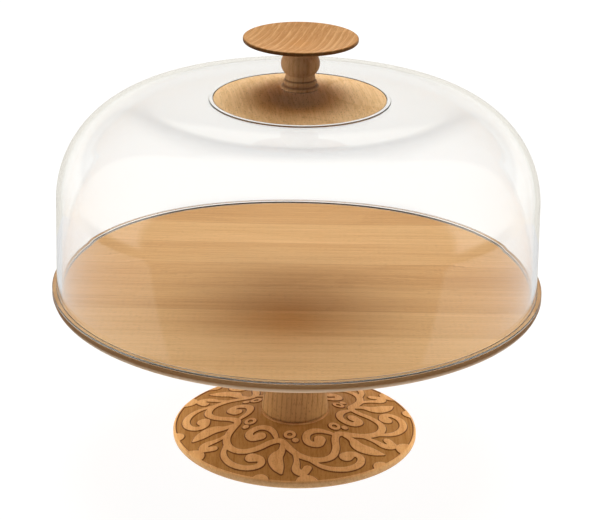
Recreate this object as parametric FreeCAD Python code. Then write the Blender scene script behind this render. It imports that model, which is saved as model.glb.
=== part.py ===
"""Cake stand with a lift-off clear dome.

A turned wooden stand (foot, column and serving plate, drawn together by one long bolt) carries
a clear acrylic dome.  A wooden disc is let into the dome's crown, and a turned knob is screwed
down through both.  Millimetres, +Z up.  The origin is on the table, on the axis of the turning.
"""
import FreeCAD, Part
import math
import os

# ---- driving dimensions: stand ----
plate_diameter = 320.0
plate_thickness = 14.0
plate_edge_band = 2.1
plate_groove_height = 0.5
plate_groove_depth = 0.7
plate_bullnose = 4.0
plate_arris = 0.4

foot_diameter = 164.0
foot_height = 16.8
foot_edge_height = 5.2
foot_edge_round = 2.0
foot_hollow_diameter = 108.0
foot_hollow_depth = 1.2
foot_crown_swell = 0.5

column_length = 79.6
column_base_diameter = 44.6
column_waist_diameter = 39.0
column_top_diameter = 46.0
column_round = 3.4
column_seat_margin = 3.0

pad_diameter = 16.0
pad_thickness = 2.0
pad_proud = 1.2
pad_circle_diameter = 136.0
pad_count = 4

# ---- driving dimensions: fixings of the stand ----
bolt_diameter = 8.0
bolt_head_diameter = 14.0
bolt_head_height = 4.4
bolt_key_width = 5.0
bolt_key_depth = 2.6
bolt_hole_clearance = 0.6
bolt_pocket_depth = 8.0
bolt_washer_diameter = 20.0
bolt_washer_thickness = 1.8
bolt_washer_clearance = 1.5
plate_insert_diameter = 12.0
plate_insert_length = 9.6
turn_dowel_diameter = 6.0
turn_dowel_length = 15.0
turn_dowel_cover = 3.8
turn_dowel_count = 2

# ---- driving dimensions: lid ----
dome_wall = 3.0
dome_flange_thickness = 1.5
dome_flange_width = 3.0
dome_flange_round = 0.5
dome_root_round = 0.8
dome_draft = 1.1
dome_wall_height = 60.1
dome_shoulder_radius = 64.5
dome_shoulder_sweep = 88.5
dome_crown_rise = 0.5
dome_collar_width = 2.6
dome_collar_rise = 0.9
dome_step_run = 4.0

disc_diameter = 110.2
disc_clearance = 0.3
disc_edge_height = 2.6
disc_arris = 0.5
disc_crown_rise = 6.6

baluster_height = 23.9
baluster_foot_radius = 12.35
baluster_foot_bead = 2.1
baluster_collar_radius = 10.7
baluster_collar_low = 3.3
baluster_collar_bead = 2.5
baluster_neck_radius = 8.9
baluster_neck_height = 7.9
baluster_ball_radius = 12.36
baluster_ball_height = 16.4
baluster_top_radius = 8.0

saucer_diameter = 73.0
saucer_height = 9.6
saucer_edge_height = 2.5
saucer_edge_round = 0.8
saucer_dish_depth = 4.6

# ---- driving dimensions: fixings of the lid ----
screw_diameter = 5.0
screw_head_diameter = 9.5
screw_head_height = 3.6
screw_key_width = 3.0
screw_key_depth = 2.0
screw_hole_clearance = 0.5
knob_washer_diameter = 18.0
knob_washer_thickness = 1.2
cushion_diameter = 22.0
cushion_thickness = 1.0
knob_insert_diameter = 8.0
knob_insert_length = 12.0
knob_dowel_diameter = 8.0
knob_dowel_in_baluster = 6.0
knob_dowel_in_saucer = 3.0

# ---- fits ----
glue_gap = 0.05
thread_clearance = 0.05
blind_end_gap = 0.6
screw_end_gap = 1.0

# ---- heights above the table ----
foot_base = pad_proud
column_base = foot_base + foot_height
plate_seat = column_base + column_length
plate_top = plate_seat + plate_thickness

# ---- radii and heights of the dome that other pieces use ----
plate_radius = plate_diameter / 2
dome_foot_radius = plate_radius - dome_flange_width
dome_wall_radius = dome_foot_radius - dome_draft
shoulder_height = plate_top + dome_wall_height
shoulder_centre = (dome_wall_radius - dome_shoulder_radius, shoulder_height)
recess_radius = disc_diameter / 2 + disc_clearance
collar_radius = recess_radius + dome_collar_width


def around(centre, radius, degrees):
    """Point of a circle in the half section, measured from the outward direction."""
    angle = math.radians(degrees)
    return (centre[0] + radius * math.cos(angle), centre[1] + radius * math.sin(angle))


crown_start = around(shoulder_centre, dome_shoulder_radius, dome_shoulder_sweep)
crown_height = crown_start[1] + dome_crown_rise
disc_rim_height = crown_height + dome_collar_rise
disc_base = disc_rim_height - disc_edge_height
dome_ceiling = disc_base - dome_wall
knob_base = disc_rim_height + disc_crown_rise
saucer_base = knob_base + baluster_height


def bend(centre, radius, first, last):
    """Moves for an arc of the half section: a run to its start, then the arc itself."""
    middle = around(centre, radius, (first + last) / 2)
    return [around(centre, radius, first), (middle, around(centre, radius, last))]


def crowned(start, end):
    """Moves for an arc centred on the axis, as a lens or a dish has, between two points."""
    height = (end[0] ** 2 + end[1] ** 2 - start[0] ** 2 - start[1] ** 2) / (2 * (end[1] - start[1]))
    first = math.degrees(math.atan2(start[1] - height, start[0]))
    last = math.degrees(math.atan2(end[1] - height, end[0]))
    return bend((0, height), math.hypot(start[0], start[1] - height), first, last)


def turned(*moves):
    """Solid of revolution about +Z.  The first move is the start of the closed half section.
    A later move is an end point (radius, height), or a pair of points (on the way, end)."""
    def at(point):
        return FreeCAD.Vector(point[0], 0, point[1])

    edges = []
    here = at(moves[0])
    for move in list(moves[1:]) + [moves[0]]:
        through, end = move if isinstance(move[0], tuple) else (None, move)
        end = at(end)
        if through is not None:
            edges.append(Part.Arc(here, at(through), end).toShape())
        elif here.distanceToPoint(end) > 1e-6:
            edges.append(Part.LineSegment(here, end).toShape())
        here = end
    face = Part.Face(Part.Wire(edges))
    return face.revolve(FreeCAD.Vector(0, 0, 0), FreeCAD.Vector(0, 0, 1), 360)


def rod(diameter, low, high, centre=(0, 0)):
    """Upright cylinder between two heights."""
    base = FreeCAD.Vector(centre[0], centre[1], low)
    return Part.makeCylinder(diameter / 2, high - low, base)


def ring(outer_diameter, inner_diameter, low, high):
    """Upright tube or washer between two heights."""
    return rod(outer_diameter, low, high).cut(rod(inner_diameter, low, high))


def circle_of(count, circle_diameter, make):
    """Copies of one shape at equal steps on a circle, as a list of separate solids."""
    spots = [around((0, 0), circle_diameter / 2, 360 * k / count) for k in range(count)]
    return [make(spot) for spot in spots]


def hexagon(width, low, high):
    """Six-sided key socket, measured across its flats."""
    corners = [around((0, 0), width / math.sqrt(3), 60 * k) for k in range(7)]
    wire = Part.makePolygon([FreeCAD.Vector(x, y, low) for x, y in corners])
    return Part.Face(wire).extrude(FreeCAD.Vector(0, 0, high - low))


def keyed_screw(diameter, seat, tip, head_diameter, head_height, key_width, key_depth):
    """Screw that points up: a domed head below its seat, with a hexagon socket."""
    head_radius = head_diameter / 2
    bottom = seat - head_height
    shoulder = (head_radius * 0.93, seat - head_height * 0.62)
    crown = (head_radius * 0.62, bottom)
    head = turned((0, bottom), crown, (shoulder, (head_radius, seat - head_height * 0.2)),
                  (head_radius, seat), (0, seat))
    return head.fuse(rod(diameter, seat, tip)).cut(hexagon(key_width, bottom, bottom + key_depth))


def export(name, shape):
    """Write one named node."""
    shape.exportStep("parts/" + name + ".step")


# ---- the stand ----

bolt_seat = foot_base + bolt_pocket_depth - bolt_washer_thickness
bolt_pocket_diameter = bolt_washer_diameter + 2 * bolt_washer_clearance
insert_low = plate_seat + blind_end_gap
insert_high = insert_low + plate_insert_length
bolt_tip = insert_high - screw_end_gap
turn_dowel_circle = (min(column_base_diameter, column_top_diameter)
                     - 2 * turn_dowel_cover - turn_dowel_diameter)
foot_joint_dowel = (column_base - turn_dowel_length / 2, column_base + turn_dowel_length / 2)
plate_joint_dowel = (plate_seat - turn_dowel_length / 2, plate_seat + turn_dowel_length / 2)


def turn_dowels(span, gap=0.0, end_gap=0.0):
    """The pair of dowels that stops a joint turning, or with gaps, the holes for them."""
    low, high = span
    return circle_of(turn_dowel_count, turn_dowel_circle,
                     lambda spot: rod(turn_dowel_diameter + 2 * gap, low - end_gap,
                                      high + end_gap, spot))


def foot_pads():
    """Soft discs let into the underside of the foot, standing a little proud of it."""
    return circle_of(pad_count, pad_circle_diameter,
                     lambda spot: rod(pad_diameter, 0, pad_thickness, spot))


def foot_disc():
    """Turned foot: round-edged rim, low conical top and a shallow hollow beneath."""
    radius = foot_diameter / 2
    hollow = foot_hollow_diameter / 2
    rim_top = foot_base + foot_edge_height
    seat = column_base_diameter / 2
    halfway = ((radius + seat) / 2, (rim_top + column_base) / 2 + foot_crown_swell)
    inner = radius - foot_edge_round
    body = turned((0, foot_base + foot_hollow_depth),
                  (hollow - foot_hollow_depth, foot_base + foot_hollow_depth), (hollow, foot_base),
                  *bend((inner, foot_base + foot_edge_round), foot_edge_round, -90, 0),
                  *bend((inner, rim_top - foot_edge_round), foot_edge_round, 0, 78),
                  (halfway, (seat, column_base)), (0, column_base))
    pocket = rod(bolt_pocket_diameter, foot_base, foot_base + bolt_pocket_depth)
    bolt_hole = rod(bolt_diameter + 2 * bolt_hole_clearance, foot_base, column_base)
    pad_seats = circle_of(pad_count, pad_circle_diameter,
                          lambda spot: rod(pad_diameter, foot_base, pad_thickness, spot))
    holes = turn_dowels(foot_joint_dowel, glue_gap, blind_end_gap)
    return body.cut([pocket, bolt_hole] + pad_seats + holes)


def column():
    """Turned column: rounded at the base, gently waisted, bored through for the bolt."""
    base = column_base_diameter / 2
    waist = (column_waist_diameter / 2, column_base + column_length * 0.55)
    body = turned((0, column_base),
                  *bend((base - column_round, column_base + column_round), column_round, -90, 0),
                  (waist, (column_top_diameter / 2, plate_seat)), (0, plate_seat))
    bore = rod(bolt_diameter + 2 * bolt_hole_clearance, column_base, plate_seat)
    holes = (turn_dowels(foot_joint_dowel, glue_gap, blind_end_gap)
             + turn_dowels(plate_joint_dowel, glue_gap, blind_end_gap))
    return body.cut([bore] + holes)


def serving_plate():
    """Turned plate: flat top, upright edge band, shadow groove, bullnose, tapered underside."""
    seat = column_top_diameter / 2 + column_seat_margin
    groove_top = plate_top - plate_edge_band
    groove_low = groove_top - plate_groove_height
    groove_radius = plate_radius - plate_groove_depth
    nose = (plate_radius - plate_arris - plate_bullnose, groove_low)
    body = turned((0, plate_seat), (seat, plate_seat),
                  *bend(nose, plate_bullnose, -88, 0),
                  (groove_radius, groove_low), (groove_radius, groove_top),
                  (plate_radius, groove_top),
                  *bend((plate_radius - plate_arris, plate_top - plate_arris), plate_arris, 0, 90),
                  (0, plate_top))
    insert_hole = rod(plate_insert_diameter + 2 * glue_gap, plate_seat, insert_high)
    holes = turn_dowels(plate_joint_dowel, glue_gap, blind_end_gap)
    return body.cut([insert_hole] + holes)


def tie_bolt():
    """Long bolt from the foot, up through the column, into the plate's insert."""
    return keyed_screw(bolt_diameter, bolt_seat, bolt_tip, bolt_head_diameter,
                       bolt_head_height, bolt_key_width, bolt_key_depth)


def bolt_washer():
    """Washer between the bolt's head and the roof of the pocket in the foot."""
    return ring(bolt_washer_diameter, bolt_diameter + bolt_hole_clearance, bolt_seat,
                bolt_seat + bolt_washer_thickness)


def plate_insert():
    """Threaded insert glued in the plate's underside; its thread is a plain bore."""
    return ring(plate_insert_diameter, bolt_diameter + 2 * thread_clearance, insert_low,
                insert_high)


# ---- the lid ----

screw_seat = dome_ceiling - cushion_thickness - knob_washer_thickness
screw_hole = screw_diameter + 2 * screw_hole_clearance
knob_insert_low = knob_base + blind_end_gap
knob_insert_high = knob_insert_low + knob_insert_length
screw_tip = knob_insert_high - screw_end_gap
knob_dowel_low = saucer_base - knob_dowel_in_baluster
knob_dowel_high = saucer_base + knob_dowel_in_saucer


def dome_shell():
    """Moulded clear dome: flat flange, upright wall, round shoulder, crown with a recess."""
    sweep = dome_shoulder_sweep
    flange_top = plate_top + dome_flange_thickness
    edge = plate_radius - dome_flange_round
    root = (dome_foot_radius + dome_root_round, flange_top + dome_root_round)
    inner_shoulder = dome_shoulder_radius - dome_wall
    inner_crown = around(shoulder_centre, inner_shoulder, sweep)
    crown_middle = ((crown_start[0] + collar_radius) / 2, crown_height - dome_crown_rise * 0.25)
    collar = (collar_radius - dome_flange_round, disc_rim_height - dome_flange_round)
    body = turned((dome_foot_radius - dome_wall, plate_top),
                  *bend((edge, plate_top + dome_flange_round), dome_flange_round, -90, 0),
                  *bend((edge, flange_top - dome_flange_round), dome_flange_round, 0, 90),
                  *bend(root, dome_root_round, 270, 180),
                  *bend(shoulder_centre, dome_shoulder_radius, 0, sweep),
                  (crown_middle, (collar_radius, crown_height)),
                  *bend(collar, dome_flange_round, 0, 90),
                  (recess_radius, disc_rim_height), (recess_radius, disc_base),
                  (screw_hole / 2, disc_base), (screw_hole / 2, dome_ceiling),
                  (collar_radius - dome_step_run, dome_ceiling),
                  (collar_radius, crown_height - dome_wall),
                  ((crown_middle[0], crown_middle[1] - dome_wall), inner_crown),
                  (around(shoulder_centre, inner_shoulder, sweep / 2),
                   (dome_wall_radius - dome_wall, shoulder_height)))
    return body


def lid_disc():
    """Wooden disc let into the crown: flat beneath, convex above, spot-faced for the knob."""
    radius = disc_diameter / 2
    seat = baluster_foot_radius + disc_arris
    body = turned((0, disc_base), (radius - disc_arris, disc_base),
                  (radius, disc_base + disc_arris), (radius, disc_rim_height - disc_arris),
                  *crowned((radius - disc_arris, disc_rim_height), (seat, knob_base)),
                  (0, knob_base))
    return body.cut(rod(screw_hole, disc_base, knob_base))


def knob_baluster():
    """Turned baluster: bead, cove, second bead, neck and a squat ball."""
    def height(above_base):
        return knob_base + above_base

    foot_half = baluster_foot_bead / 2
    collar_half = baluster_collar_bead / 2
    foot_bead = (baluster_foot_radius - foot_half, height(foot_half))
    collar_bead = (baluster_collar_radius - collar_half,
                   height(baluster_collar_low + collar_half))
    neck = (baluster_neck_radius, height(baluster_neck_height))
    neck_low = (collar_bead[0], height(baluster_collar_low + baluster_collar_bead))
    ball_low = (baluster_neck_radius + 0.5, height(baluster_neck_height + 1.6))
    ball = (baluster_ball_radius, height(baluster_ball_height))
    body = turned((0, knob_base), *bend(foot_bead, foot_half, -90, 90),
                  *bend(collar_bead, collar_half, -90, 90),
                  neck_low, (neck, ball_low), (ball, (baluster_top_radius, saucer_base)),
                  (0, saucer_base))
    insert_hole = rod(knob_insert_diameter + 2 * glue_gap, knob_base, knob_insert_high)
    dowel_hole = rod(knob_dowel_diameter + 2 * glue_gap, knob_dowel_low - blind_end_gap,
                     saucer_base)
    return body.cut([insert_hole, dowel_hole])


def knob_saucer():
    """Turned knob top: a shallow dish with a rounded edge, curving in below to the ball."""
    radius = saucer_diameter / 2
    top = saucer_base + saucer_height
    inner = radius - saucer_edge_round
    edge_low = top - saucer_edge_height
    below = (baluster_top_radius + (inner - baluster_top_radius) * 0.55,
             saucer_base + (edge_low - saucer_base) * 0.38)
    body = turned((0, saucer_base), (baluster_top_radius, saucer_base),
                  (below, (inner, edge_low)),
                  *bend((inner, edge_low + saucer_edge_round), saucer_edge_round, -90, 0),
                  *bend((inner, top - saucer_edge_round), saucer_edge_round, 0, 90),
                  *crowned((inner, top), (0, top - saucer_dish_depth)))
    return body.cut(rod(knob_dowel_diameter + 2 * glue_gap, saucer_base,
                        knob_dowel_high + blind_end_gap))


def knob_dowel():
    """Dowel that joins the knob's top to its baluster."""
    return rod(knob_dowel_diameter, knob_dowel_low, knob_dowel_high)


def knob_screw():
    """Screw from inside the dome, up through crown and disc, into the knob's insert."""
    return keyed_screw(screw_diameter, screw_seat, screw_tip, screw_head_diameter,
                       screw_head_height, screw_key_width, screw_key_depth)


def knob_washer():
    """Wide washer that spreads the knob screw's pull."""
    return ring(knob_washer_diameter, screw_hole, screw_seat,
                screw_seat + knob_washer_thickness)


def cushion_washer():
    """Soft washer that keeps the metal one off the acrylic."""
    return ring(cushion_diameter, screw_hole, dome_ceiling - cushion_thickness, dome_ceiling)


def knob_insert():
    """Threaded insert glued in the baluster; its thread is a plain bore."""
    return ring(knob_insert_diameter, screw_diameter + 2 * thread_clearance, knob_insert_low,
                knob_insert_high)


os.makedirs("parts", exist_ok=True)

export("foot_pads", Part.makeCompound(foot_pads()))
export("foot_disc", foot_disc())
export("foot_joint_dowels", Part.makeCompound(turn_dowels(foot_joint_dowel)))
export("column", column())
export("plate_joint_dowels", Part.makeCompound(turn_dowels(plate_joint_dowel)))
export("serving_plate", serving_plate())
export("plate_insert", plate_insert())
export("tie_bolt", tie_bolt())
export("bolt_washer", bolt_washer())

export("dome_shell", dome_shell())
export("lid_disc", lid_disc())
export("knob_baluster", knob_baluster())
export("knob_dowel", knob_dowel())
export("knob_saucer", knob_saucer())
export("knob_insert", knob_insert())
export("knob_screw", knob_screw())
export("knob_washer", knob_washer())
export("cushion_washer", cushion_washer())
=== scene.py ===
"""Cake stand with a lift-off clear dome: its looks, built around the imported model. Metres, +Z up."""
import math
import bmesh
import bpy
import numpy as np
from mathutils import Matrix, Vector


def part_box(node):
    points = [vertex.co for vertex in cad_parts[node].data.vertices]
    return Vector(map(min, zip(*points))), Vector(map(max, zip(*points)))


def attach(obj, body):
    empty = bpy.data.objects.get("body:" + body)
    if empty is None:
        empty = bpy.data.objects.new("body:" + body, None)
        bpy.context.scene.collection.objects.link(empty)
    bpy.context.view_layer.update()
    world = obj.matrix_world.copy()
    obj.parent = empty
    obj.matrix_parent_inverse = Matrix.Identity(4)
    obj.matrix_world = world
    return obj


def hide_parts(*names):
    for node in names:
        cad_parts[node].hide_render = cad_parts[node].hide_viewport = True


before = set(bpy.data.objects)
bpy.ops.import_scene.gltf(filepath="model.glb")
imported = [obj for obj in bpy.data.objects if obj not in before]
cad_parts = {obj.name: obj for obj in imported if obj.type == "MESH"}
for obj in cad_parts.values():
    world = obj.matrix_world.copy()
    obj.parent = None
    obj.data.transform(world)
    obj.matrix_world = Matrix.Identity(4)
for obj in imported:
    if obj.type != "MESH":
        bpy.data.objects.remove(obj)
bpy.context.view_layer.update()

MM = 0.001
TURNS = 240                     # steps of a full turn on the lathe-turned pieces
AIR = 0.12 * MM                 # air between the acrylic and the wood it rests on or holds

# ---- sizes that the imported boxes don't give ----
PLATE_BAND = 2.1 * MM
PLATE_GROOVE_HEIGHT = 0.5 * MM
PLATE_GROOVE_DEPTH = 0.7 * MM
PLATE_NOSE = 4.0 * MM
PLATE_ARRIS = 0.4 * MM
PLATE_SEAT_RADIUS = 26.0 * MM

FOOT_EDGE_HEIGHT = 5.2 * MM
FOOT_EDGE_ROUND = 2.0 * MM
FOOT_TOP_HOLLOW = 0.5 * MM
FOOT_HOLLOW_RADIUS = 54.0 * MM
FOOT_HOLLOW_DEPTH = 1.2 * MM
FOOT_POCKET_RADIUS = 11.5 * MM
FOOT_POCKET_DEPTH = 8.0 * MM
RELIEF_DEPTH = 0.6 * MM
RELIEF_BORDER = 80.2 * MM
RELIEF_WALL = 0.6               # width in mm of the slope between a scroll and the ground
RELIEF_REPEATS = 6
RELIEF_STEPS = 720
RELIEF_RINGS = 104

COLUMN_BASE_RADIUS = 22.3 * MM
COLUMN_ROUND = 3.4 * MM
COLUMN_WAIST_RADIUS = 19.5 * MM
COLUMN_WAIST_SHARE = 0.55       # of the column's height, from its base
COLUMN_STEPS = 24

DOME_WALL = 3.0 * MM
DOME_FLANGE = 1.5 * MM
DOME_FLANGE_WIDTH = 3.0 * MM
DOME_ROUND = 0.4 * MM
DOME_ROOT = 0.4 * MM
DOME_DRAFT = 1.1 * MM
DOME_WALL_HEIGHT = 60.1 * MM
DOME_SHOULDER = 64.5 * MM
DOME_SWEEP = 88.5
DOME_CROWN_SWELL = 0.12 * MM
DOME_COLLAR = 2.6 * MM
DOME_COLLAR_RISE = 0.9 * MM
DOME_COLLAR_ARRIS = 0.2 * MM
DOME_STEP_RADII = (42.0 * MM, 51.0 * MM)    # of the step in the underside, hidden by the disc

DISC_EDGE = 2.6 * MM
DISC_ARRIS = 0.5 * MM
DISC_CLEARANCE = 0.3 * MM
SCREW_HOLE_RADIUS = 3.0 * MM

# heights on the baluster start at its base
BEAD = 2.1 * MM
COLLAR_BEAD_LOW = 3.3 * MM
COLLAR_BEAD = 2.5 * MM
COLLAR_RADIUS = 10.7 * MM
NECK_SWELL = 0.35 * MM
BALL_LOW = 9.5 * MM
BALL_HEIGHT = 16.4 * MM
GROOVE_RISE = 0.4 * MM          # from the top of a bead to the groove over it
GROOVE_SHADE_REACH = 0.9 * MM         # how far the painted shade in a groove reaches
KNOB_WAIST_RADIUS = 8.0 * MM

SAUCER_EDGE = 2.5 * MM
SAUCER_ROUND = 0.8 * MM
SAUCER_DISH = 4.6 * MM
SAUCER_SWELL = 0.55 * MM

# ---- the camera and the table ----
CAMERA_LENS = 123.2
CAMERA_SHIFT = 0.015
CAMERA_PLACE = (0.0, -1.2754, 0.6366)
CAMERA_TILT = 21.79             # degrees below level
CAMERA_ROLL = 0.92              # degrees
TABLE_HALF = 4.0
TABLE_DROP = 0.3 * MM           # keeps the table's top clear of the pads' undersides


def half_width(node):
    """Radius of a turned node, taken inside its faceted box."""
    low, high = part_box(node)
    return min(high.x - low.x, high.y - low.y) / 2


def placed(name, data):
    """A new object, put in the scene."""
    made = bpy.data.objects.new(name, data)
    bpy.context.scene.collection.objects.link(made)
    return made


def formed(name, bm):
    """A new object, put in the scene, that holds the mesh that has been built."""
    mesh = bpy.data.meshes.new(name)
    bm.to_mesh(mesh)
    bm.free()
    return placed(name, mesh)


# ---- camera ----

def make_camera():
    """A long lens, about a metre and a quarter away and a little over half a metre up."""
    data = bpy.data.cameras.new("camera")
    data.lens = CAMERA_LENS
    data.sensor_width = 36.0
    data.shift_x = CAMERA_SHIFT
    data.clip_end = 20.0
    camera = placed("camera", data)
    look_down = Matrix.Rotation(math.radians(90.0 - CAMERA_TILT), 4, "X")
    roll = Matrix.Rotation(math.radians(CAMERA_ROLL), 4, "Z")
    camera.matrix_world = Matrix.Translation(CAMERA_PLACE) @ look_down @ roll
    bpy.context.scene.camera = camera


# ---- shaping ----

def arc(centre, radius, first, last, steps):
    """Points of a circular arc in the half section; degrees from the outward direction."""
    angles = np.radians(np.linspace(first, last, steps + 1))
    return [(centre[0] + radius * math.cos(a), centre[1] + radius * math.sin(a)) for a in angles]


def bow(start, end, sag, steps):
    """Points of a shallow curve that stands off to the left of the way from start to end by sag."""
    run, rise = end[0] - start[0], end[1] - start[1]
    length = math.hypot(run, rise)
    points = []
    for t in np.linspace(0.0, 1.0, steps + 1):
        off = 4 * t * (1 - t) * sag
        points.append((start[0] + run * t - rise / length * off,
                       start[1] + rise * t + run / length * off))
    return points


def crowned(start, end, steps):
    """Points of an arc centred on the axis, as a lens or a dish has."""
    rise = end[1] - start[1]
    height = (end[0] ** 2 + end[1] ** 2 - start[0] ** 2 - start[1] ** 2) / (2 * rise)
    first = math.degrees(math.atan2(start[1] - height, start[0]))
    last = math.degrees(math.atan2(end[1] - height, end[0]))
    return arc((0, height), math.hypot(start[0], start[1] - height), first, last, steps)


def turned(name, section, steps=TURNS, crease=32.0):
    """Spin a closed half section of (radius, height) points into a solid, smooth but for creases."""
    bm = bmesh.new()
    corners = [bm.verts.new((radius, 0.0, height)) for radius, height in section]
    rim = [bm.edges.new(pair) for pair in zip(corners, corners[1:])]
    if section[0][0] > 0.0 or section[-1][0] > 0.0:
        rim.append(bm.edges.new((corners[-1], corners[0])))
    bmesh.ops.spin(bm, geom=corners + rim, cent=(0, 0, 0), axis=(0, 0, 1), angle=2 * math.pi,
                   steps=steps, use_merge=True)
    bmesh.ops.remove_doubles(bm, verts=bm.verts, dist=1e-6)
    bmesh.ops.recalc_face_normals(bm, faces=bm.faces)
    piece = formed(name, bm)
    piece.data.shade_smooth()
    piece.data.set_sharp_from_angle(angle=math.radians(crease))
    shading = piece.modifiers.new("even_shading", "WEIGHTED_NORMAL")
    shading.keep_sharp = True
    return piece


def settle(piece, body, node, material):
    """Hand a new piece its body and its material, and hide the node that it stands for."""
    piece.data.materials.append(material)
    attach(piece, body)
    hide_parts(node)


# ---- node trees ----

def put(tree, kind, inputs=(), **settings):
    """Add a shader node. inputs gives sockets a value, or a link from another node's output."""
    made = tree.nodes.new("ShaderNode" + kind)
    for name, value in settings.items():
        setattr(made, name, value)
    for socket, value in dict(inputs).items():
        if isinstance(value, bpy.types.NodeSocket):
            tree.links.new(value, made.inputs[socket])
        else:
            made.inputs[socket].default_value = value
    return made


def maths(tree, operation, *values):
    """A number worked out from one, two or three others."""
    return put(tree, "Math", dict(enumerate(values)), operation=operation).outputs[0]


def soft_step(tree, value, low, high, start=0.0, end=1.0):
    """A number that eases from start to end as value goes from low to high."""
    made = put(tree, "MapRange", {"Value": value, "From Min": low, "From Max": high,
                                  "To Min": start, "To Max": end})
    made.interpolation_type = "SMOOTHSTEP"
    return made.outputs["Result"]


def mixed(tree, amount, first, second):
    """Colour mixed from two. On a Mix node, sockets 6 and 7 take colours and output 2 gives one."""
    return put(tree, "Mix", {0: amount, 6: first, 7: second}, data_type="RGBA").outputs[2]


def times(tree, vector, stretch):
    """A vector with each of its parts multiplied by a number of its own."""
    return put(tree, "VectorMath", {0: vector, 1: stretch}, operation="MULTIPLY").outputs[0]


def noise(tree, vector, stretch, detail=3.0, roughness=0.55):
    """Noise whose grains are stretched: stretch gives how many fit in a metre each way."""
    return put(tree, "TexNoise", {"Vector": times(tree, vector, stretch), "Scale": 1.0,
                                  "Detail": detail, "Roughness": roughness}).outputs["Fac"]


def from_axis(tree, place):
    """Distance of a place from the vertical axis."""
    flat = times(tree, place, (1.0, 1.0, 0.0))
    return put(tree, "VectorMath", {0: flat}, operation="LENGTH").outputs["Value"]


def effect(name, inputs, outputs):
    """An empty node group with named sockets, and its two ends."""
    tree = bpy.data.node_groups.new(name, "ShaderNodeTree")
    for socket, kind, value in inputs:
        made = tree.interface.new_socket(socket, in_out="INPUT", socket_type="NodeSocket" + kind)
        if value is not None:
            made.default_value = value
    for socket, kind in outputs:
        tree.interface.new_socket(socket, in_out="OUTPUT", socket_type="NodeSocket" + kind)
    start = tree.nodes.new("NodeGroupInput").outputs
    end = tree.nodes.new("NodeGroupOutput").inputs
    return tree, start, end


def shade(red, green, blue):
    """A display colour, 0 to 255, as the linear colour that shaders take."""
    def linear(value):
        value /= 255.0
        return value / 12.92 if value <= 0.04045 else ((value + 0.055) / 1.055) ** 2.4
    return (linear(red), linear(green), linear(blue), 1.0)


def darker(colour, share):
    """The colour, with only that share of its light."""
    return [part * share for part in colour[:3]] + [1.0]


# ---- effects that several materials share ----

def make_beech_figure():
    """Beech: long streaks, growth lines and short dark flecks. The grain runs along local X."""
    tree, start, end = effect(
        "beech_figure",
        [("Vector", "Vector", None), ("Pale", "Color", shade(226, 182, 136)),
         ("Dark", "Color", shade(196, 146, 98)), ("Fleck", "Color", shade(120, 74, 38)),
         ("Streaks", "Float", 0.9), ("Growth", "Float", 0.3), ("Growth Scale", "Float", 60.0),
         ("Flecks", "Float", 0.5)],
        [("Colour", "Color"), ("Height", "Float"), ("Figure", "Float")])
    vector = start["Vector"]
    fine = noise(tree, vector, (16.0, 1100.0, 1100.0), detail=2.0)
    streak = noise(tree, vector, (7.0, 520.0, 520.0), detail=4.0, roughness=0.62)
    cloud = noise(tree, vector, (3.0, 26.0, 26.0), detail=2.0)
    wander = noise(tree, vector, (9.0, 14.0, 14.0), detail=1.0)
    bent = put(tree, "VectorMath", {0: (0.0, 0.013, 0.013), 3: wander}, operation="SCALE").outputs[0]
    moved = put(tree, "VectorMath", {0: vector, 1: bent}, operation="ADD").outputs[0]
    rings = put(tree, "TexWave", {"Vector": moved, "Scale": start["Growth Scale"],
                                  "Distortion": 1.2, "Detail": 2.0, "Detail Scale": 0.6},
                wave_type="RINGS", rings_direction="X", wave_profile="SAW").outputs["Fac"]
    lines = maths(tree, "POWER", rings, 5.0)

    def share(value, amount):
        return maths(tree, "MULTIPLY", maths(tree, "SUBTRACT", value, 0.5), amount)

    figure = maths(tree, "ADD", share(fine, maths(tree, "MULTIPLY", start["Streaks"], 0.9)),
                   share(streak, maths(tree, "MULTIPLY", start["Streaks"], 1.5)))
    figure = maths(tree, "ADD", figure, share(cloud, 0.8))
    figure = maths(tree, "ADD", figure, share(lines, start["Growth"]))
    figure = maths(tree, "ADD", figure, 0.5)
    figure_clamped = soft_step(tree, figure, 0.0, 1.0)

    cells = put(tree, "TexVoronoi", {"Vector": times(tree, vector, (300.0, 1700.0, 1700.0)),
                                     "Scale": 1.0})
    near = soft_step(tree, cells.outputs["Distance"], 0.42, 0.16)
    chance = put(tree, "SeparateColor", {0: cells.outputs["Color"]}).outputs[0]
    chosen = soft_step(tree, chance, 0.45, 0.6)
    flecks = maths(tree, "MULTIPLY", maths(tree, "MULTIPLY", near, chosen), start["Flecks"])

    body = mixed(tree, figure_clamped, start["Pale"], start["Dark"])
    coloured = mixed(tree, flecks, body, start["Fleck"])
    tree.links.new(coloured, end["Colour"])
    pores = maths(tree, "MULTIPLY_ADD", flecks, -1.0, maths(tree, "MULTIPLY", fine, 0.35))
    tree.links.new(pores, end["Height"])
    tree.links.new(figure_clamped, end["Figure"])
    return tree


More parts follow.
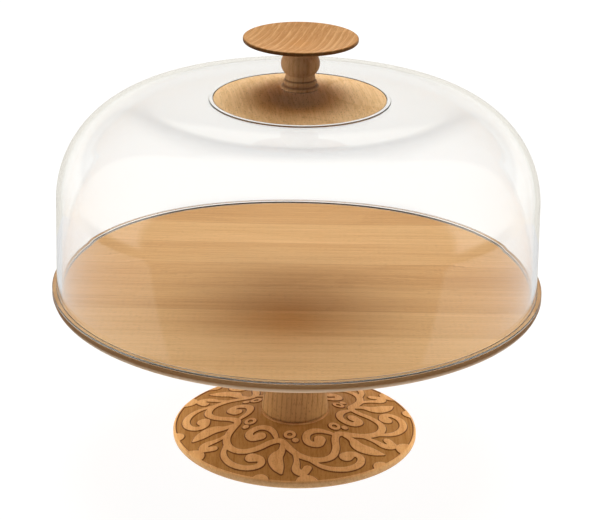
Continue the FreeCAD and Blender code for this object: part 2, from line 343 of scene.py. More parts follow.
def make_stave_tones():
    """The plate's glued staves: each has its own tone and its own stretch of figure; the front staves
    get the palest tones as painted light on the front of the plate.
    """
    tree, start, end = effect("stave_tones", [("Vector", "Vector", None)],
                              [("Vector", "Vector"), ("Tone", "Float"), ("Joint", "Float")])
    # tones from the front stave to the back, 0 palest: the first two are pale as painted light at the
    # front, the rest are the staves' own tones
    tones = (0.0, 0.20, 0.55, 0.62, 0.30, 0.05, 0.62, 0.80, 0.62)
    width, offset = 39.0 * MM, 30.0 * MM
    across = put(tree, "SeparateXYZ", {0: start["Vector"]}).outputs["Y"]
    count = maths(tree, "DIVIDE", maths(tree, "SUBTRACT", across, offset), width)
    stave = maths(tree, "FLOOR", count)
    within = maths(tree, "FRACT", count)
    edge = maths(tree, "ABSOLUTE", maths(tree, "SUBTRACT", within, 0.5))
    tree.links.new(soft_step(tree, edge, 0.485, 0.5), end["Joint"])
    place = maths(tree, "DIVIDE", maths(tree, "ADD", stave, len(tones) / 2), float(len(tones)))
    ramp = put(tree, "ValToRGB", {0: place})
    ramp.color_ramp.interpolation = "CONSTANT"
    for index, tone in enumerate(tones):
        stops = ramp.color_ramp.elements
        stop = stops[index] if index < 2 else stops.new(index / len(tones))
        stop.position = index / len(tones)
        stop.color = (tone, tone, tone, 1.0)
    tree.links.new(ramp.outputs["Color"], end["Tone"])
    shift = put(tree, "CombineXYZ", {"X": maths(tree, "MULTIPLY", stave, 0.73),
                                     "Z": maths(tree, "MULTIPLY", stave, 0.31)}).outputs[0]
    moved = put(tree, "VectorMath", {0: start["Vector"], 1: shift}, operation="ADD").outputs[0]
    tree.links.new(moved, end["Vector"])
    return tree


# ---- materials ----

def begin(name):
    """A new material's tree, its Principled shader and its Object coordinates."""
    material = bpy.data.materials.new(name)
    material.use_nodes = True
    tree = material.node_tree
    shader = tree.nodes["Principled BSDF"]
    coordinates = tree.nodes.new("ShaderNodeTexCoord").outputs["Object"]
    return material, tree, shader, coordinates


def use(tree, group, inputs=()):
    """Place an effect in a material. Gives its outputs."""
    return put(tree, "Group", inputs, node_tree=group).outputs


def satin(tree, shader, height, figure):
    """Oiled wood's surface: open pores felt as bump, and a sheen that varies with the figure."""
    bump = put(tree, "Bump", {"Height": height, "Strength": 0.35, "Distance": 0.06 * MM})
    tree.links.new(bump.outputs["Normal"], shader.inputs["Normal"])
    tree.links.new(soft_step(tree, figure, 0.0, 1.0, 0.46, 0.60), shader.inputs["Roughness"])
    shader.inputs["IOR"].default_value = 1.45
    shader.inputs["Specular IOR Level"].default_value = 0.15


def plate_beech():
    """The serving plate: long grain along X, staves of their own tone with the front ones made paler as
    painted light, a rim band darkened as painted shade, and a paler edge beneath, partly unfinished wood
    and partly painted reflection of the white floor.
    """
    material, tree, shader, place = begin("plate_beech")
    staves = use(tree, STAVES, {"Vector": place})
    pale = mixed(tree, staves["Tone"], shade(236, 188, 135), shade(218, 164, 110))
    dark = mixed(tree, staves["Tone"], shade(216, 166, 114), shade(190, 136, 86))
    beech = use(tree, BEECH, {"Vector": staves["Vector"], "Pale": pale, "Dark": dark,
                              "Streaks": 0.8, "Growth": 0.12, "Growth Scale": 55.0,
                              "Flecks": 0.3})
    joint = maths(tree, "MULTIPLY", staves["Joint"], 0.25)
    colour = mixed(tree, joint, beech["Colour"], shade(150, 98, 56))
    # painted shade: the wood darkens over the last 1.5 mm to the edge, as the upright rim band lies in
    # shade
    edge = half_width("serving_plate")
    rim = soft_step(tree, from_axis(tree, place), edge - 1.5 * MM, edge - 0.2 * MM)
    colour = mixed(tree, maths(tree, "MULTIPLY", rim, 0.45), colour, shade(150, 100, 58))
    low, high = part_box("serving_plate")
    unfinished_and_floor_light_top = high.z - PLATE_BAND - PLATE_GROOVE_HEIGHT
    height = put(tree, "SeparateXYZ", {0: place}).outputs["Z"]
    # painted light: below the groove the wood is mixed towards a pale colour, partly as unfinished wood
    # and partly as painted reflection of the white floor; the mix is halved towards the seat
    unfinished_and_floor_light_share = soft_step(tree, height, unfinished_and_floor_light_top, unfinished_and_floor_light_top - 1.5 * MM, 0.0, 0.85)
    deeper = soft_step(tree, height, low.z + 3.0 * MM, low.z + 7.0 * MM, 0.5, 1.0)
    unfinished_and_floor_light = mixed(tree, beech["Figure"], shade(246, 220, 192), shade(222, 186, 150))
    colour = mixed(tree, maths(tree, "MULTIPLY", unfinished_and_floor_light_share, deeper), colour, unfinished_and_floor_light)
    tree.links.new(colour, shader.inputs["Base Color"])
    satin(tree, shader, beech["Height"], beech["Figure"])
    return material


def turned_beech(name, rotation, location, pale, dark, growth, growth_scale, flecks):
    """Beech of one turned piece, with its grain turned and moved by a Mapping node."""
    material, tree, shader, place = begin(name)
    turned_place = put(tree, "Mapping", {"Vector": place, "Location": location,
                                         "Rotation": [math.radians(a) for a in rotation]})
    beech = use(tree, BEECH, {"Vector": turned_place.outputs[0], "Pale": pale, "Dark": dark,
                              "Growth": growth, "Growth Scale": growth_scale, "Flecks": flecks})
    tree.links.new(beech["Colour"], shader.inputs["Base Color"])
    satin(tree, shader, beech["Height"], beech["Figure"])
    return material


def paint_edge_shade(material, start, end, shade_tint):
    """Painted shade: deepen the colour of a turned piece from one radius out to another."""
    tree = material.node_tree
    shader = tree.nodes["Principled BSDF"]
    place = tree.nodes["Texture Coordinate"].outputs["Object"]
    colour = shader.inputs["Base Color"].links[0].from_socket
    edge = soft_step(tree, from_axis(tree, place), start, end, 0.0, 0.55)
    tree.links.new(mixed(tree, edge, colour, shade_tint), shader.inputs["Base Color"])


def paint_groove_shade(material, heights, shade_tint):
    """Painted shade: darken the wood at the given heights, in the turned grooves and along a contact
    line, where shade falls.
    """
    tree = material.node_tree
    shader = tree.nodes["Principled BSDF"]
    place = tree.nodes["Texture Coordinate"].outputs["Object"]
    height = put(tree, "SeparateXYZ", {0: place}).outputs["Z"]
    for groove in heights:
        away = maths(tree, "ABSOLUTE", maths(tree, "SUBTRACT", height, groove))
        colour = shader.inputs["Base Color"].links[0].from_socket
        share = soft_step(tree, away, 0.1 * GROOVE_SHADE_REACH, GROOVE_SHADE_REACH, 0.65, 0.0)
        tree.links.new(mixed(tree, share, colour, shade_tint), shader.inputs["Base Color"])


def foot_beech():
    """The carved foot: pale raised scrolls, a darker sunk ground and a thin scorched outline."""
    material, tree, shader, place = begin("foot_beech")
    along = put(tree, "Mapping", {"Vector": place, "Rotation": (0, 0, math.radians(88)),
                                  "Location": (0.3, 0.1, 0.05)}).outputs[0]
    raised = use(tree, BEECH, {"Vector": along, "Pale": shade(222, 178, 128),
                               "Dark": shade(198, 150, 100), "Flecks": 0.35, "Growth": 0.2})
    sunk = use(tree, BEECH, {"Vector": along, "Pale": shade(178, 134, 82),
                             "Dark": shade(152, 108, 58), "Flecks": 0.35, "Growth": 0.2})
    depth = put(tree, "Attribute", attribute_name="scroll").outputs["Fac"]
    ground = soft_step(tree, depth, -0.12, 0.12)
    outline = maths(tree, "MULTIPLY", soft_step(tree, depth, -0.25, 0.1),
                    soft_step(tree, depth, 0.75, 0.35))
    colour = mixed(tree, ground, raised["Colour"], sunk["Colour"])
    colour = mixed(tree, maths(tree, "MULTIPLY", outline, 0.85), colour, shade(84, 42, 34))
    tree.links.new(colour, shader.inputs["Base Color"])
    satin(tree, shader, raised["Height"], raised["Figure"])
    return material


def clear_acrylic():
    """Polished clear acrylic. Light from lamps and off matt surfaces passes straight through."""
    material, tree, shader = begin("clear_acrylic")[:3]
    shader.inputs["Base Color"].default_value = (0.985, 0.987, 0.985, 1.0)
    shader.inputs["Roughness"].default_value = 0.0
    shader.inputs["IOR"].default_value = 1.49
    shader.inputs["Transmission Weight"].default_value = 1.0
    path = put(tree, "LightPath").outputs
    straight = maths(tree, "MAXIMUM", path["Is Shadow Ray"], path["Is Diffuse Ray"])
    through = put(tree, "BsdfTransparent", {"Color": (0.965, 0.965, 0.965, 1.0)}).outputs[0]
    both = put(tree, "MixShader", {0: straight, 1: shader.outputs[0], 2: through}).outputs[0]
    tree.links.new(both, tree.nodes["Material Output"].inputs["Surface"])
    return material


def plain_metal(name, colour, roughness):
    """Turned metal with fine concentric tool marks."""
    material, tree, shader, place = begin(name)
    rings = put(tree, "CombineXYZ", {"X": from_axis(tree, place)}).outputs[0]
    marks = noise(tree, rings, (6000.0, 1.0, 1.0), detail=1.0)
    bloom = noise(tree, place, (350.0, 350.0, 350.0), detail=2.0)
    shader.inputs["Metallic"].default_value = 1.0
    tree.links.new(mixed(tree, bloom, colour, darker(colour, 0.8)), shader.inputs["Base Color"])
    tree.links.new(soft_step(tree, marks, 0.2, 0.8, roughness, roughness + 0.15),
                   shader.inputs["Roughness"])
    bump = put(tree, "Bump", {"Height": marks, "Strength": 0.3, "Distance": 0.02 * MM})
    tree.links.new(bump.outputs["Normal"], shader.inputs["Normal"])
    return material


def soft_plastic(name, colour, roughness):
    """A soft moulding with a faintly uneven, matt skin."""
    material, tree, shader, place = begin(name)
    skin = noise(tree, place, (900.0, 900.0, 900.0), detail=3.0)
    tree.links.new(mixed(tree, skin, colour, darker(colour, 0.82)), shader.inputs["Base Color"])
    shader.inputs["Roughness"].default_value = roughness
    bump = put(tree, "Bump", {"Height": skin, "Strength": 0.4, "Distance": 0.05 * MM})
    tree.links.new(bump.outputs["Normal"], shader.inputs["Normal"])
    return material


# ---- the stand ----

def make_plate():
    """Serving plate: flat top, upright band, shadow groove, bullnose and tapered underside."""
    low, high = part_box("serving_plate")
    radius = half_width("serving_plate")
    top, seat = high.z, low.z
    groove_top = top - PLATE_BAND
    groove_low = groove_top - PLATE_GROOVE_HEIGHT
    nose = (radius - PLATE_ARRIS - PLATE_NOSE, groove_low)
    under = arc(nose, PLATE_NOSE, -88.0, 0.0, 10)
    section = [(0.0, seat), (PLATE_SEAT_RADIUS, seat)]
    section += bow((PLATE_SEAT_RADIUS, seat), under[0], 0.0, 12)[1:-1] + under
    section += [(radius - PLATE_GROOVE_DEPTH, groove_low), (radius - PLATE_GROOVE_DEPTH, groove_top),
                (radius, groove_top)]
    section += arc((radius - PLATE_ARRIS, top - PLATE_ARRIS), PLATE_ARRIS, 0.0, 90.0, 4)
    section += [(radius * 0.98, top), (radius * 0.5, top), (0.0, top)]
    plate = turned("serving_plate_turned", section)
    settle(plate, "stand", "serving_plate", plate_beech())


def make_column():
    """Column: rounded at the base and gently waisted."""
    low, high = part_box("column")
    base, top = low.z, high.z
    top_radius = half_width("column")
    lower = base + COLUMN_ROUND
    waist = base + (top - base) * COLUMN_WAIST_SHARE
    section = [(0.0, base)]
    section += arc((COLUMN_BASE_RADIUS - COLUMN_ROUND, lower), COLUMN_ROUND, -90.0, 0.0, 8)
    for step in range(1, COLUMN_STEPS):
        height = lower + (top - lower) * step / COLUMN_STEPS
        end, wide = (top, top_radius) if height > waist else (lower, COLUMN_BASE_RADIUS)
        far = (height - waist) / (end - waist)
        section.append((COLUMN_WAIST_RADIUS + (wide - COLUMN_WAIST_RADIUS) * far ** 2, height))
    section += [(top_radius, top), (0.0, top)]
    column = turned("column_turned", section)
    grain = turned_beech("column_beech", (0, 90, 0), (0.0, 0.012, 0.05), shade(212, 168, 114),
                         shade(172, 126, 76), 0.7, 95.0, 0.5)
    settle(column, "stand", "column", grain)


# Scrolls of the foot, for one sector of the ring: (degrees, radius, half width), in mm.
VINE = [(-34, 46.5, 2.5), (-27, 54, 2.5), (-17, 60, 2.6), (-6, 60, 2.6), (2, 52.5, 2.5),
        (8, 43, 2.5), (17, 38.5, 2.5), (26, 46.5, 2.5), (33, 54, 2.5)]
OUTER_CURL = [(-20, 59, 1.4), (-13, 69, 2.2), (-3, 74, 2.6), (6, 73, 2.7), (11.5, 67, 2.5),
              (9.5, 60.5, 2.6), (3.4, 61.5, 4.6)]
INNER_CURL = [(13, 39, 1.3), (5, 32, 2.2), (-6, 29.8, 2.5), (-17, 32.5, 2.6), (-18.5, 41.5, 2.6),
              (-9, 45, 2.8), (-5, 39.5, 4.0)]
LEAF = [(19, 41, 1.2), (21, 50, 2.4), (17, 57, 5.0), (20.5, 66, 4.6), (23.5, 73, 0.9)]
SPRIG = [(30, 51, 1.2), (32, 60, 1.9), (30.5, 69, 3.0), (34.5, 73.5, 3.0), (37.5, 67, 2.9)]
BUD_RADIUS = 81.5
RIM_BUDS = [(-24, 7.4), (14.5, 5.6)]        # degrees, size
EYELET = (24.5, 32.5)
EYELET_RING = 2.9
EYELET_WALL = 1.2
SEED = (-29, 38)
SEED_RADIUS = 2.3


def on_plan(places):
    """Flat coordinates, in mm, of (degrees, radius) places."""
    angles = np.radians([place[0] for place in places])
    radii = np.array([place[1] for place in places])
    return np.stack([radii * np.cos(angles), radii * np.sin(angles)], 1)


def eased(line, rounds=3):
    """A line with its corners cut again and again, which leaves a smooth curve."""
    for _ in range(rounds):
        cuts = np.stack([line[:-1] * 0.75 + line[1:] * 0.25, line[:-1] * 0.25 + line[1:] * 0.75], 1)
        line = np.vstack([line[:1], cuts.reshape(-1, line.shape[1]), line[-1:]])
    return line


def from_stroke(spots, route):
    """Distance of each spot from the edge of a tapered stroke, negative inside it."""
    line = eased(np.hstack([on_plan(route), [[place[2]] for place in route]]))
    nearest = np.full(len(spots), 1000.0)
    for start, end in zip(line, line[1:]):
        run = end[:2] - start[:2]
        along = np.clip(((spots - start[:2]) @ run) / (run @ run), 0.0, 1.0)
        gap = spots - start[:2] - along[:, None] * run
        half = start[2] + along * (end[2] - start[2])
        nearest = np.minimum(nearest, np.hypot(gap[:, 0], gap[:, 1]) - half)
    return nearest


def from_bead(spots, place, radius):
    """Distance of each spot from the edge of a round bead, negative inside it."""
    gap = spots - on_plan([place])[0]
    return np.hypot(gap[:, 0], gap[:, 1]) - radius


def from_scrolls(spots):
    """Distance in mm of each spot from the edge of the scrolls, negative on them."""
    sector = 2 * math.pi / RELIEF_REPEATS
    radius = np.hypot(spots[:, 0], spots[:, 1])
    folded = (np.arctan2(spots[:, 1], spots[:, 0]) + sector / 2) % sector - sector / 2
    nearest = RELIEF_BORDER / MM - radius
    for turn in (-1, 0, 1):
        angle = folded + turn * sector
        near = np.stack([radius * np.cos(angle), radius * np.sin(angle)], 1)
        shapes = [from_stroke(near, route) for route in (VINE, OUTER_CURL, INNER_CURL, LEAF, SPRIG)]
        shapes += [from_bead(near, (degrees, BUD_RADIUS), size) for degrees, size in RIM_BUDS]
        shapes.append(np.abs(from_bead(near, EYELET, EYELET_RING)) - EYELET_WALL)
        shapes.append(from_bead(near, SEED, SEED_RADIUS))
        nearest = np.minimum(nearest, np.min(shapes, axis=0))
    return nearest


def carve(foot, rim_top, column_radius):
    """Sink the ground between the scrolls and note each point's distance from their edge."""
    mesh = foot.data
    places = np.empty(len(mesh.vertices) * 3)
    mesh.vertices.foreach_get("co", places)
    places = places.reshape(-1, 3)
    radius = np.hypot(places[:, 0], places[:, 1])
    top = (places[:, 2] > rim_top - FOOT_EDGE_ROUND) & (radius > column_radius)
    distance = np.full(len(places), -5.0)       # elsewhere nothing is carved, as if on a scroll
    distance[top] = from_scrolls(places[top, :2] / MM)
    sunk = np.clip((distance + 0.1) / RELIEF_WALL, 0.0, 1.0)
    sunk *= sunk * (3 - 2 * sunk)
    sunk *= np.clip((radius - column_radius) / (1.5 * MM), 0.0, 1.0)
    places[:, 2] -= RELIEF_DEPTH * sunk
    mesh.vertices.foreach_set("co", places.ravel())
    mesh.attributes.new("scroll", "FLOAT", "POINT").data.foreach_set("value", distance)
    mesh.update()


def make_foot():
    """Foot: rounded rim, low conical top with scrolls in relief, and a hollow underside."""
    low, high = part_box("foot_disc")
    radius = half_width("foot_disc")
    base, seat = low.z, high.z
    rim_top = base + FOOT_EDGE_HEIGHT
    inner = radius - FOOT_EDGE_ROUND
    roof = base + FOOT_POCKET_DEPTH
    hollow = base + FOOT_HOLLOW_DEPTH
    section = [(0.0, roof), (FOOT_POCKET_RADIUS, roof), (FOOT_POCKET_RADIUS, hollow),
               (FOOT_HOLLOW_RADIUS - FOOT_HOLLOW_DEPTH, hollow), (FOOT_HOLLOW_RADIUS, base)]
    section += arc((inner, base + FOOT_EDGE_ROUND), FOOT_EDGE_ROUND, -90.0, 0.0, 6)
    edge = arc((inner, rim_top - FOOT_EDGE_ROUND), FOOT_EDGE_ROUND, 0.0, 78.0, 6)
    section += edge + bow(edge[-1], (COLUMN_BASE_RADIUS, seat), FOOT_TOP_HOLLOW, RELIEF_RINGS)[1:]
    section += [(0.0, seat)]
    foot = turned("foot_carved", section, steps=RELIEF_STEPS)
    carve(foot, rim_top, COLUMN_BASE_RADIUS)
    settle(foot, "stand", "foot_disc", foot_beech())


# ---- the lid ----

def make_dome():
    """Clear dome: flat flange, a wall that leans in slightly, round shoulder, crown with a sunk seat."""
    low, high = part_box("dome_shell")
    radius = half_width("dome_shell")
    base = low.z + AIR
    flange_top = low.z + DOME_FLANGE
    foot_radius = radius - DOME_FLANGE_WIDTH
    wall_radius = foot_radius - DOME_DRAFT
    shoulder = (wall_radius - DOME_SHOULDER, low.z + DOME_WALL_HEIGHT)
    collar_top = high.z
    crown = collar_top - DOME_COLLAR_RISE
    recess = half_width("lid_disc") + DISC_CLEARANCE
    collar = recess + DOME_COLLAR
    seat = collar_top - DISC_EDGE
    outer = arc(shoulder, DOME_SHOULDER, 0.0, DOME_SWEEP, 40)
    inner = arc(shoulder, DOME_SHOULDER - DOME_WALL, DOME_SWEEP, 0.0, 40)
    section = [(foot_radius - DOME_WALL, base)]
    section += arc((radius - DOME_ROUND, base + DOME_ROUND), DOME_ROUND, -90.0, 0.0, 5)
    section += arc((radius - DOME_ROUND, flange_top - DOME_ROUND), DOME_ROUND, 0.0, 90.0, 5)
    section += arc((foot_radius + DOME_ROOT, flange_top + DOME_ROOT), DOME_ROOT, 270.0, 180.0, 6)
    section += [(foot_radius - DOME_DRAFT * t, flange_top + (shoulder[1] - flange_top) * t)
                for t in (0.25, 0.5, 0.75)]
    section += outer + bow(outer[-1], (collar, crown), -DOME_CROWN_SWELL, 8)[1:]
    section += arc((collar - DOME_ROUND, collar_top - DOME_ROUND), DOME_ROUND, 0.0, 90.0, 5)
    ceiling, crown_under = seat - DOME_WALL, crown - DOME_WALL
    section += [(recess + DOME_COLLAR_ARRIS, collar_top), (recess, collar_top - DOME_COLLAR_ARRIS),
                (recess, seat), (SCREW_HOLE_RADIUS, seat), (SCREW_HOLE_RADIUS, ceiling)]
    step_start, step_end = DOME_STEP_RADII
    section += [(step_start + (step_end - step_start) * t,
                 ceiling + (crown_under - ceiling) * (3 * t * t - 2 * t ** 3))
                for t in np.linspace(0.0, 1.0, 9)]
    section += bow((collar, crown_under), inner[0], DOME_CROWN_SWELL, 8)[:-1] + inner
    section += [(foot_radius - DOME_WALL - DOME_DRAFT * t, base + (shoulder[1] - base) * t)
                for t in (0.75, 0.5, 0.25)]
    dome = turned("dome_clear", section, steps=320, crease=50.0)
    settle(dome, "lid", "dome_shell", clear_acrylic())


def make_lid_disc():
    """Wooden disc let into the crown: flat beneath and convex above."""
    low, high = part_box("lid_disc")
    radius = half_width("lid_disc")
    base, rim, seat = low.z + AIR, low.z + DISC_EDGE, high.z
    seat_radius = half_width("knob_baluster") + DISC_ARRIS
    section = [(0.0, base), (radius - DISC_ARRIS, base)]
    section += arc((radius - DISC_ARRIS, base + DISC_ARRIS), DISC_ARRIS, -90.0, 0.0, 4)[1:]
    section += arc((radius - DISC_ARRIS, rim - DISC_ARRIS), DISC_ARRIS, 0.0, 90.0, 5)
    section += crowned((radius - DISC_ARRIS, rim), (seat_radius, seat), 24)[1:]
    section += [(0.0, seat)]
    disc = turned("lid_disc_turned", section)
    grain = turned_beech("lid_disc_beech", (0, 0, 82), (0.1, 0.03, 0.09), shade(236, 192, 142),
                         shade(208, 160, 108), 0.25, 40.0, 0.6)
    settle(disc, "lid", "lid_disc", grain)


def make_baluster():
    """Baluster of the knob: bead, cove, second bead, neck and a squat ball."""
    low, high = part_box("knob_baluster")
    radius = half_width("knob_baluster")
    base, top = low.z, high.z
    half, collar_half = BEAD / 2, COLLAR_BEAD / 2
    ball_rise = top - base - BALL_HEIGHT
    drop = radius - KNOB_WAIST_RADIUS
    ball_radius = (drop ** 2 + ball_rise ** 2) / (2 * drop)
    ball = (radius - ball_radius, base + BALL_HEIGHT)
    first = -math.degrees(math.asin((BALL_HEIGHT - BALL_LOW) / ball_radius))
    last = math.degrees(math.asin(ball_rise / ball_radius))
    section = [(0.0, base)] + arc((radius - half, base + half), half, -90.0, 90.0, 12)
    section += arc((COLLAR_RADIUS - collar_half, base + COLLAR_BEAD_LOW + collar_half), collar_half,
                   -90.0, 90.0, 12)
    collar_top = (COLLAR_RADIUS - collar_half, base + COLLAR_BEAD_LOW + COLLAR_BEAD)
    ball_arc = arc(ball, ball_radius, first, last, 28)
    section += bow(collar_top, ball_arc[0], -NECK_SWELL, 8)[1:-1] + ball_arc
    section += [(0.0, top)]
    baluster = turned("knob_baluster_turned", section, steps=160)
    grain = turned_beech("baluster_beech", (0, 90, 0), (0.05, 0.01, 0.04), shade(232, 192, 148),
                         shade(204, 156, 108), 0.2, 110.0, 0.25)
    # painted shade: a contact shadow along the base and shade in the grooves over the two beads
    grooves = (base, base + BEAD + GROOVE_RISE, collar_top[1] + GROOVE_RISE)
    paint_groove_shade(grain, grooves, shade(90, 48, 24))
    settle(baluster, "lid", "knob_baluster", grain)
    baluster.visible_glossy = False


def make_saucer():
    """Saucer top of the knob: a shallow dish with a round edge, curving in to the ball."""
    low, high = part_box("knob_saucer")
    radius = half_width("knob_saucer")
    base, top = low.z, high.z
    inner = radius - SAUCER_ROUND
    edge_low = top - SAUCER_EDGE
    section = [(0.0, base), (KNOB_WAIST_RADIUS, base)]
    section += bow((KNOB_WAIST_RADIUS, base), (inner, edge_low), -SAUCER_SWELL, 16)[1:]
    section += arc((inner, edge_low + SAUCER_ROUND), SAUCER_ROUND, -90.0, 0.0, 6)[1:]
    section += arc((inner, top - SAUCER_ROUND), SAUCER_ROUND, 0.0, 90.0, 6)
    section += crowned((inner, top), (0.0, top - SAUCER_DISH), 20)[1:]
    saucer = turned("knob_saucer_turned", section)
    grain = turned_beech("saucer_beech", (0, 0, -74), (0.0, 0.30, -0.26), shade(216, 164, 112),
                         shade(182, 126, 76), -0.55, 66.0, 0.2)
    # painted shade: the saucer's rounded edge is darkened, as it faces away from the light
    paint_edge_shade(grain, radius - 1.0 * MM, radius - 0.2 * MM, shade(128, 84, 36))
    settle(saucer, "lid", "knob_saucer", grain)
    saucer.visible_glossy = False


# ---- fixings and pads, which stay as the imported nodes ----

def finish_fixings():
    """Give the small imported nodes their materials."""
    zinc = plain_metal("zinc_plate", (0.62, 0.63, 0.62, 1.0), 0.32)
    steel = plain_metal("stainless", (0.66, 0.65, 0.63, 1.0), 0.25)
    brass = plain_metal("brass", (0.75, 0.56, 0.27, 1.0), 0.3)
    pad = soft_plastic("pad_rubber", shade(150, 140, 126), 0.75)
    washer = soft_plastic("washer_nylon", shade(226, 224, 216), 0.5)
    dowel = turned_beech("dowel_beech", (0, 90, 0), (0.2, 0.0, 0.1), shade(226, 190, 148),
                         shade(200, 158, 112), 0.2, 90.0, 0.3)
    finishes = {"tie_bolt": zinc, "bolt_washer": zinc, "plate_insert": brass, "knob_insert": brass,
                "knob_screw": steel, "knob_washer": steel, "cushion_washer": washer,
                "foot_pads": pad, "foot_joint_dowels": dowel, "plate_joint_dowels": dowel,
                "knob_dowel": dowel}
    for node, material in finishes.items():
        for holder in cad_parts[node].material_slots:
            holder.material = material
    for node in ("knob_insert", "knob_screw", "knob_dowel"):
        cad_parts[node].visible_glossy = False


# ---- studio ----

def ray_kinds(tree):
    """Light Path's outputs, whether a ray has been mirrored, and whether it is deep in acrylic."""
    path = put(tree, "LightPath").outputs
    mirrored = maths(tree, "GREATER_THAN", path["Glossy Depth"], 0.5)
    deep = maths(tree, "GREATER_THAN", path["Transmission Depth"], 2.5)
    return path, mirrored, deep


def make_world():
    """The room: white to the camera, a faint warm fill to matt surfaces, and arranged for gloss.

    Directions run from -1 to 1: rise is up, depth is away from the camera, and side is to either side.
    """
    world = bpy.data.worlds.new("studio")
    bpy.context.scene.world = world
    world.use_nodes = True
    tree = world.node_tree
    tree.nodes.clear()
    towards = put(tree, "SeparateXYZ", {0: put(tree, "TexCoord").outputs["Generated"]}).outputs
    rise, depth = towards["Z"], towards["Y"]
    side = maths(tree, "ABSOLUTE", towards["X"])

    # a low wall whose top falls to the sides, a short bright strip over it, and a high wall
    edge = maths(tree, "MULTIPLY_ADD", side, -0.35, 0.40)
    low_wall = soft_step(tree, maths(tree, "SUBTRACT", rise, edge), -0.10, 0.10, 1.0, 0.0)
    low_wall = maths(tree, "MULTIPLY", low_wall, soft_step(tree, rise, 0.05, 0.32, 0.92, 0.62))
    strip = maths(tree, "MULTIPLY", soft_step(tree, rise, 0.326, 0.342),
                  soft_step(tree, side, 0.14, 0.05))
    strip = maths(tree, "MULTIPLY", strip, soft_step(tree, rise, 0.40, 0.36, 0.0, 0.30))
    high_wall = soft_step(tree, rise, 0.66, 0.88)
    wall = maths(tree, "MAXIMUM", maths(tree, "ADD", low_wall, strip), high_wall)

    # pale flanks, and darkness on the camera's side
    flank = soft_step(tree, depth, 0.64, 0.48)
    flank = maths(tree, "MAXIMUM", flank, soft_step(tree, side, 0.10, 0.36, 0.0, 0.55))
    room = maths(tree, "MULTIPLY", maths(tree, "MAXIMUM", wall, flank),
                 soft_step(tree, depth, -0.30, -0.18))

    # light that has been to and fro in the acrylic finds the middle of the room dim
    path, mirrored, deep = ray_kinds(tree)
    dim = maths(tree, "MULTIPLY", deep, soft_step(tree, side, 0.08, 0.30, 0.95, 0.0))
    room = maths(tree, "MULTIPLY", room, maths(tree, "SUBTRACT", 1.0, dim))

    # below the horizon lies the table
    table = maths(tree, "MAXIMUM", soft_step(tree, depth, 0.15, 0.55, 0.0, 0.85), deep)
    bright = mixed(tree, soft_step(tree, rise, -0.10, -0.20), room, table)
    gloss = mixed(tree, bright, (0.03, 0.026, 0.022, 1.0), (1.05, 1.02, 0.94, 1.0))
    gloss = put(tree, "Background", {"Color": gloss, "Strength": 1.0}).outputs[0]

    fill = put(tree, "Background", {"Color": (1.0, 0.64, 0.36, 1.0), "Strength": 0.03}).outputs[0]
    white = put(tree, "Background", {"Color": (1.0, 0.97, 0.91, 1.0), "Strength": 1.13}).outputs[0]
    both = put(tree, "MixShader", {0: mirrored, 1: white, 2: gloss}).outputs[0]
    both = put(tree, "MixShader", {0: path["Is Diffuse Ray"], 1: both, 2: fill}).outputs[0]
    tree.links.new(both, put(tree, "OutputWorld").inputs["Surface"])


def stage_plane(name, low, high, height, near, far, scatter, mirrored_only):
    """A white surface that glows, as strongly as near in front and as far behind.

    It is clear from beneath. It is also clear to mirrored light, or else to all light but that.
    Light that is deep in acrylic counts as not mirrored.
    """
    bm = bmesh.new()
    bmesh.ops.create_grid(bm, x_segments=1, y_segments=1, size=0.5)
    bmesh.ops.scale(bm, verts=bm.verts, vec=(high[0] - low[0], high[1] - low[1], 1.0))
    centre = ((low[0] + high[0]) / 2, (low[1] + high[1]) / 2, height)
    bmesh.ops.translate(bm, verts=bm.verts, vec=centre)
    plane = formed(name, bm)
    material, tree, shader, place = begin(name + "_paint")
    shader.inputs["Base Color"].default_value = (scatter, scatter, scatter, 1.0)
    shader.inputs["Roughness"].default_value = 0.9
    shader.inputs["Specular IOR Level"].default_value = 0.0
    shader.inputs["Emission Color"].default_value = (1.0, 1.0, 1.0, 1.0)
    across = put(tree, "SeparateXYZ", {0: place}).outputs["Y"]
    glow = soft_step(tree, across, -0.25, 0.30, near, far)
    path, mirrored, deep = ray_kinds(tree)
    reach = put(tree, "VectorMath", {0: place}, operation="LENGTH").outputs["Value"]
    # matt surfaces see its glow only where it is near the stand
    beyond = maths(tree, "MULTIPLY", soft_step(tree, reach, 0.24, 0.38), path["Is Diffuse Ray"])
    glow = maths(tree, "MULTIPLY", glow, maths(tree, "SUBTRACT", 1.0, beyond))
    tree.links.new(glow, shader.inputs["Emission Strength"])
    hidden = maths(tree, "MULTIPLY", mirrored, maths(tree, "SUBTRACT", 1.0, deep))
    if mirrored_only:
        hidden = maths(tree, "SUBTRACT", 1.0, hidden)
    hidden = maths(tree, "MAXIMUM", hidden, put(tree, "NewGeometry").outputs["Backfacing"])
    clear = put(tree, "BsdfTransparent").outputs[0]
    both = put(tree, "MixShader", {0: hidden, 1: shader.outputs[0], 2: clear}).outputs[0]
    tree.links.new(both, tree.nodes["Material Output"].inputs["Surface"])
    plane.data.materials.append(material)
    return plane


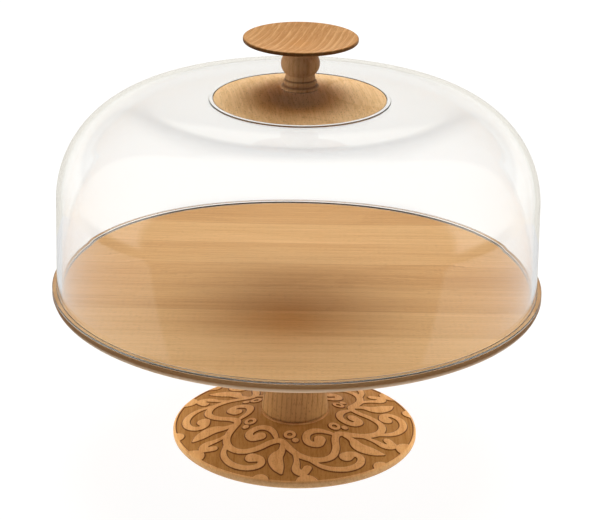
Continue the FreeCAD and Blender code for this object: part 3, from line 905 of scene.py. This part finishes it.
def make_floor():
    """The pale table, and a white card each side of it that only gloss picks up."""
    stage_plane("floor", (-TABLE_HALF, -TABLE_HALF), (TABLE_HALF, TABLE_HALF), -TABLE_DROP,
                near=0.95, far=0.95, scatter=0.12, mirrored_only=False)
    for word, left, right in (("left", -0.66, -0.235), ("right", 0.235, 0.66)):
        card = stage_plane("card_" + word, (left, -0.27), (right, 0.35), 2.0 * MM,
                           near=0.42, far=0.85, scatter=0.0, mirrored_only=True)
        card.visible_diffuse = False


def lamp(name, place, target, size, power, colour):
    """A square softbox aimed at a point. Only matt surfaces see it."""
    data = bpy.data.lights.new(name, "AREA")
    data.size = size
    data.energy = power
    data.color = colour
    made = placed(name, data)
    made.visible_glossy = False
    made.visible_transmission = False
    made.visible_camera = False
    aim = (Vector(target) - Vector(place)).to_track_quat("-Z", "Y").to_matrix().to_4x4()
    made.matrix_world = Matrix.Translation(place) @ aim
    return made


def shine_only_on(light, pieces):
    """Keep a light to the named pieces."""
    group = bpy.data.collections.new(light.name + "_receivers")
    for name in pieces:
        group.objects.link(bpy.data.objects[name])
    light.light_linking.receiver_collection = group


def make_lights():
    """A broad soft key, high and behind, in a wider warm glow, and small fills for single pieces."""
    above, middle = (0.09, 0.94, 2.28), (0.0, 0.0, 0.12)
    lamp("key", above, middle, 1.70, 68.0, (0.66, 0.86, 1.0))
    lamp("key_glow", above, middle, 2.70, 54.0, (1.0, 0.56, 0.10))
    for word, side in (("left", -1), ("right", 1)):
        fill = lamp("fill_" + word, (side * 0.40, 0.06, 0.31), (side * 0.03, 0.0, 0.02),
                    0.22, 2.6, (1.0, 0.95, 0.76))
        shine_only_on(fill, ("foot_carved", "column_turned"))
    rim = lamp("rim_fill", (0.0, -0.62, 0.04), (0.0, -0.16, 0.10), 0.5, 0.5, (1.0, 0.97, 0.92))
    shine_only_on(rim, ("serving_plate_turned",))
    for word, side, power in (("left", -1, 0.60), ("right", 1, 0.22)):
        knob = lamp("knob_fill_" + word, (side * 0.42, -0.12, 0.30), (0.0, 0.0, 0.25),
                    0.14, power, (1.0, 0.95, 0.84))
        shine_only_on(knob, ("knob_baluster_turned",))


BEECH = make_beech_figure()
STAVES = make_stave_tones()

bpy.context.scene.view_settings.view_transform = "Standard"
make_camera()
make_world()
make_floor()

make_plate()
make_column()
make_foot()
make_dome()
make_lid_disc()
make_baluster()
make_saucer()

finish_fixings()
make_lights()
